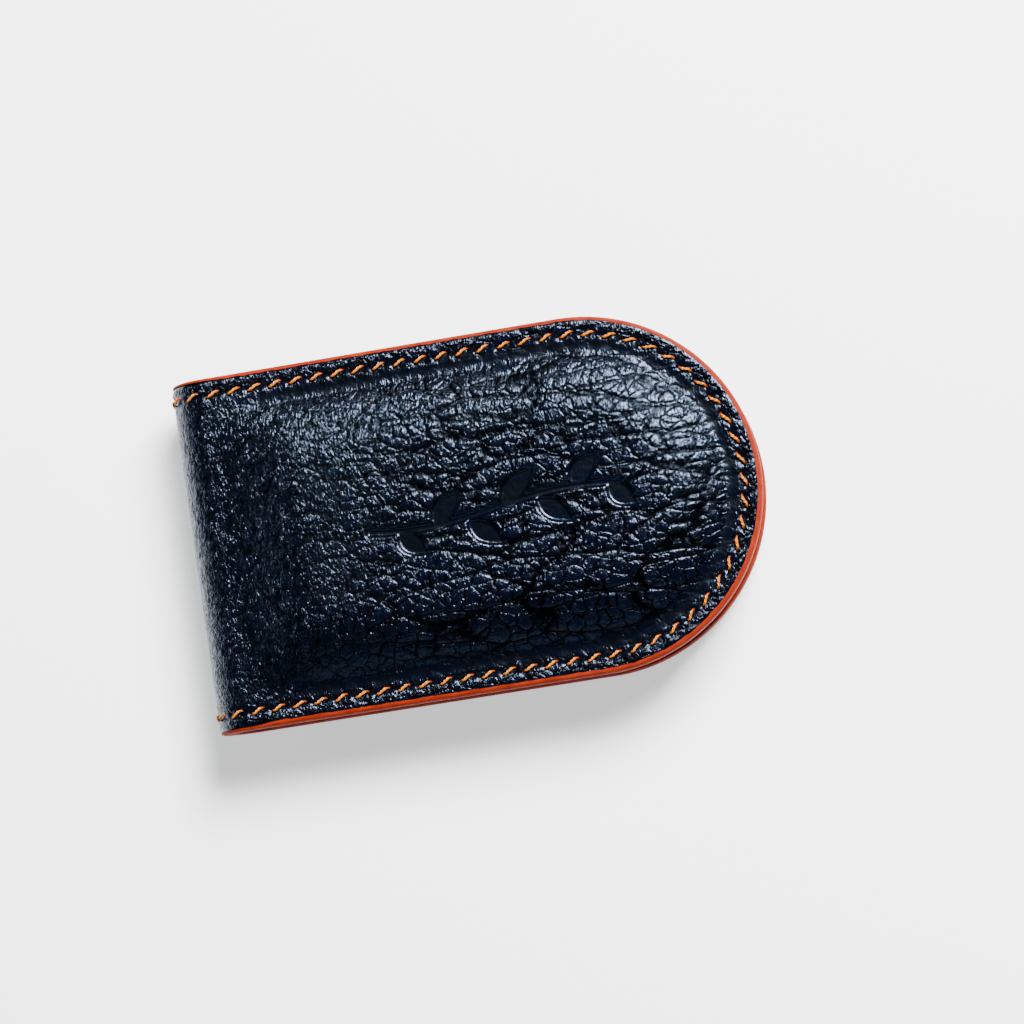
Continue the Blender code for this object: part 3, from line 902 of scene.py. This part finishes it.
# Lining. Thin black calf with a tight, even grain, glued to the outer leather round the rim and swollen
# slightly over the row of magnets. It faces the notes.
lining_numbers = {
    "Pebble_Size": 0.0011,
    "Pebble_Height": 0.00003,
    "Crease_Spacing": 0.0050,
    "Crease_Depth": 0.000004,
    "Fine_Height": 0.00001,
    "Creases": 0.0,
    "Seed": 8.0,
}
# lining_dark is painted shade in the lining's creases and low grain; lining_light is the colour of its raised
# grain.
lining_dark = (0.0020, 0.0022, 0.0030, 1.0)
lining_light = (0.0060, 0.0066, 0.0085, 1.0)
lining_name = "black_lining_leather"
lining_material = leather_material(lining_name, lining_dark, lining_light, 0.42, 0.5, lining_numbers)
lining_numbers["Material"] = lining_material
LINING_UNDER = -0.00005
LINING_SWELL = 0.0011
SWELL_RISE = 0.0022
FOLD_ROWS = 13
lining_step = 0.00045
along_lining = graded(END_CENTRE + HALF_WIDTH * math.pi / 4, lining_step * 0.5, lining_step, False, True)
over_lining = graded(2 * HALF_WIDTH, lining_step * 0.5, lining_step, True, True)


def lining_sunk(d):
    """How far the lining sinks away from the notes: in the seam's channel and round the edge."""
    channel = 0.00006 * np.exp(-(((SEAM_INSET - d) / 0.0006) ** 2))
    return channel + 0.00035 * np.clip(1 - d / 0.0010, 0, 1) ** 2.2


def flap_lining(name, face, body):
    """The lining of one flap, swollen over the magnet pocket."""
    x, y = flap_grid(along_lining, over_lining)
    d = edge_distance(x, y)
    swell = smooth(pocket_depth(x, y) / SWELL_RISE)
    top = to_flap(face, x, y, LINING_LEVEL - LINING_SWELL * swell + lining_sunk(d))
    out = -normals_of(top) * face
    under = to_flap(face, x, y, LINING_UNDER - LINING_SWELL * swell)
    strip = x if face > 0 else -FOLD_LENGTH - x
    pad = np.full_like(x, 0.5)
    relief = smooth((d - 0.0004) / 0.0006)
    made = sheet(name, lining_material, top, under, out, (strip, y), pad, relief, 4)
    apply_nodes(made, leather_grain, **lining_numbers)
    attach(made, body)
    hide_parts(f"{body[:-5]}_lining")


def fold_lining(number):
    """One third of the lining round the fold."""
    angle, y, d = fold_grid(number, over_lining, FOLD_ROWS)
    top = to_fold(angle, y, LINING_LEVEL + lining_sunk(d))
    out = normals_of(top)
    under = to_fold(angle, y, np.full_like(y, LINING_UNDER))
    hide = (-angle * FOLD_RADIUS, y)
    pad = np.full_like(y, 0.5)
    relief = smooth((d - 0.0004) / 0.0006)
    made = sheet(f"fold_lining_piece_{number + 1}", lining_material, top, under, out, hide, pad, relief, 4)
    apply_nodes(made, leather_grain, **lining_numbers)
    blend_fold(made)
    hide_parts(*[f"fold_lining_{leaf}" for leaf in FOLD_NODES[number]])


flap_lining("front_lining_sheet", 1, "front_flap")
flap_lining("back_lining_sheet", -1, "back_flap")
for number in range(3):
    fold_lining(number)


# Foam pads. Thin closed-cell foam under each outer leather, feathered at its edge and crowned by the leather
# stretched over it.
foam_material, tree, shader = new_material("closed_cell_foam")
set_inputs(shader, Roughness=0.95, Specular_IOR_Level=0.15)
place = add(tree, "ShaderNodeTexCoord").outputs["Object"]
inputs = {"Vector": place, "Scale": 3200.0}
cell = add(tree, "ShaderNodeTexVoronoi", inputs, feature="DISTANCE_TO_EDGE").outputs["Distance"]
colours = {0: ramp(tree, cell, 0.0, 0.3), 6: (0.40, 0.39, 0.36, 1.0), 7: (0.60, 0.59, 0.55, 1.0)}
mixed = add(tree, "ShaderNodeMix", colours, data_type="RGBA")
tree.links.new(mixed.outputs[2], shader.inputs["Base Color"])
bump = add(tree, "ShaderNodeBump", {"Height": cell, "Strength": 0.5, "Distance": 0.0001})
tree.links.new(bump.outputs[0], shader.inputs["Normal"])


def foam_pad(face, body):
    node = f"{body[:-5]}_foam_pad"
    low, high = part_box(node)
    levels = sorted((abs(low.z - CENTRE_Z) - GLUE_RADIUS, abs(high.z - CENTRE_Z) - GLUE_RADIUS))
    half_y = (high.y - low.y) / 2
    start, stop = low.x - CENTRE_X, high.x - CENTRE_X
    centre = stop - half_y
    rings = []
    for share in np.linspace(0.0, 1.0, 14):
        half = half_y * share
        left = centre - (centre - start) * share
        size = min(0.0015, half * 0.5) + 1e-6
        loop = []
        for k in range(9):
            a = math.pi / 2 * k / 8
            loop.append((left + size * (1 - math.sin(a)), size * (1 - math.cos(a)) - half))
        loop = loop[::-1]
        for k in range(33):
            a = math.pi * (k / 32 - 0.5)
            loop.append((centre + half * math.cos(a), half * math.sin(a)))
        loop += [(x, -y) for x, y in reversed(loop[:9])]
        rings.append(loop)
    thick = levels[1] - levels[0]
    points = []
    for share, loop in zip(np.linspace(0.0, 1.0, 14), rings):
        level = levels[0] + thick * (0.28 + 0.72 * float(smooth((1 - share) / 0.35)))
        points.append([to_flap(face, x, y, level - 0.00002) for x, y in loop])
    points.append([to_flap(face, x, y, levels[0] + 0.00002) for x, y in rings[-1]])
    made = swept(f"{body[:-5]}_foam", points, foam_material)
    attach(made, body)
    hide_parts(node)


foam_pad(1, "front_flap")
foam_pad(-1, "back_flap")


# Boards, magnets and plates. Nickel-plated block magnets sit in windows of a pressed fibre board, and a
# thin cold-rolled steel plate behind them turns their pull inwards. Their shapes are the frame's own.
board_material, tree, shader = new_material("fibre_board")
set_inputs(shader, Roughness=0.85)
place = add(tree, "ShaderNodeTexCoord").outputs["Object"]
fibres = add(tree, "ShaderNodeMapping", {"Vector": place, "Scale": (1.0, 3.0, 3.0)}).outputs[0]
fibres = add(tree, "ShaderNodeTexNoise", {"Vector": fibres, "Scale": 900.0, "Detail": 5.0}).outputs[0]
colours = {0: ramp(tree, fibres, 0.3, 0.7), 6: (0.22, 0.15, 0.09, 1.0), 7: (0.42, 0.31, 0.20, 1.0)}
mixed = add(tree, "ShaderNodeMix", colours, data_type="RGBA")
tree.links.new(mixed.outputs[2], shader.inputs["Base Color"])
nickel_material, tree, shader = new_material("nickel_plate")
set_inputs(shader, Base_Color=(0.62, 0.60, 0.56, 1.0), Metallic=1.0)
place = add(tree, "ShaderNodeTexCoord").outputs["Object"]
haze = add(tree, "ShaderNodeTexNoise", {"Vector": place, "Scale": 400.0, "Detail": 3.0}).outputs[0]
tree.links.new(ramp(tree, haze, 0.3, 0.7, 0.12, 0.28), shader.inputs["Roughness"])
steel_material, tree, shader = new_material("cold_rolled_steel")
set_inputs(shader, Base_Color=(0.45, 0.46, 0.48, 1.0), Metallic=1.0)
place = add(tree, "ShaderNodeTexCoord").outputs["Object"]
rolled = add(tree, "ShaderNodeMapping", {"Vector": place, "Scale": (1.0, 40.0, 1.0)}).outputs[0]
rolled = add(tree, "ShaderNodeTexNoise", {"Vector": rolled, "Scale": 120.0, "Detail": 4.0}).outputs[0]
tree.links.new(ramp(tree, rolled, 0.3, 0.7, 0.28, 0.45), shader.inputs["Roughness"])
for name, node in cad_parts.items():
    if "shield_plate" in name:
        chosen = (steel_material, "plate_steel")
    elif "magnet_board" in name:
        chosen = (board_material, "board")
    elif "_magnet_" in name:
        chosen = (nickel_material, "magnet_nickel")
    else:
        continue
    node.data.materials.clear()
    node.data.materials.append(chosen[0])


# Light. A soft box stands beyond the clip's far edge and to the right. Two dim cool ones fill from the left
# and from the near side, and the room round them is nearly dark.
def soft_box(name, direction, size, power, colour=(1.0, 1.0, 1.0)):
    """A rectangular lamp in a direction from the clip, facing it."""
    data = bpy.data.lights.new(name, "AREA")
    data.shape = "RECTANGLE"
    data.size, data.size_y = size
    data.energy = power
    data.color = colour
    made = bpy.data.objects.new(name, data)
    bpy.context.collection.objects.link(made)
    direction = direction.normalized()
    made.location = LOOK_AT + direction * LIGHT_DISTANCE
    made.rotation_mode = "QUATERNION"
    made.rotation_quaternion = direction.to_track_quat("Z", "Y")
    return made


LIGHT_DISTANCE = 0.70
COOL = (0.60, 0.80, 1.0)
level_up = (up - Vector((0, 0, up.z))).normalized()
level_right = (right - Vector((0, 0, right.z))).normalized()
soft_box("key_light", level_up * 0.78 + level_right * 0.42 + Vector((0, 0, 0.92)), (0.32, 0.32), 31.0)
soft_box("fill_light", level_right * -1.0 + Vector((0, 0, 0.28)), (0.5, 0.2), 0.6, COOL)
soft_box("low_light", level_up * -1.0 + Vector((0, 0, 0.62)), (0.7, 0.3), 0.65, COOL)
world = bpy.data.worlds.new("room")
bpy.context.scene.world = world
world.use_nodes = True
world.node_tree.nodes["Background"].inputs["Color"].default_value = (0.70, 0.84, 1.0, 1.0)
world.node_tree.nodes["Background"].inputs["Strength"].default_value = 0.05
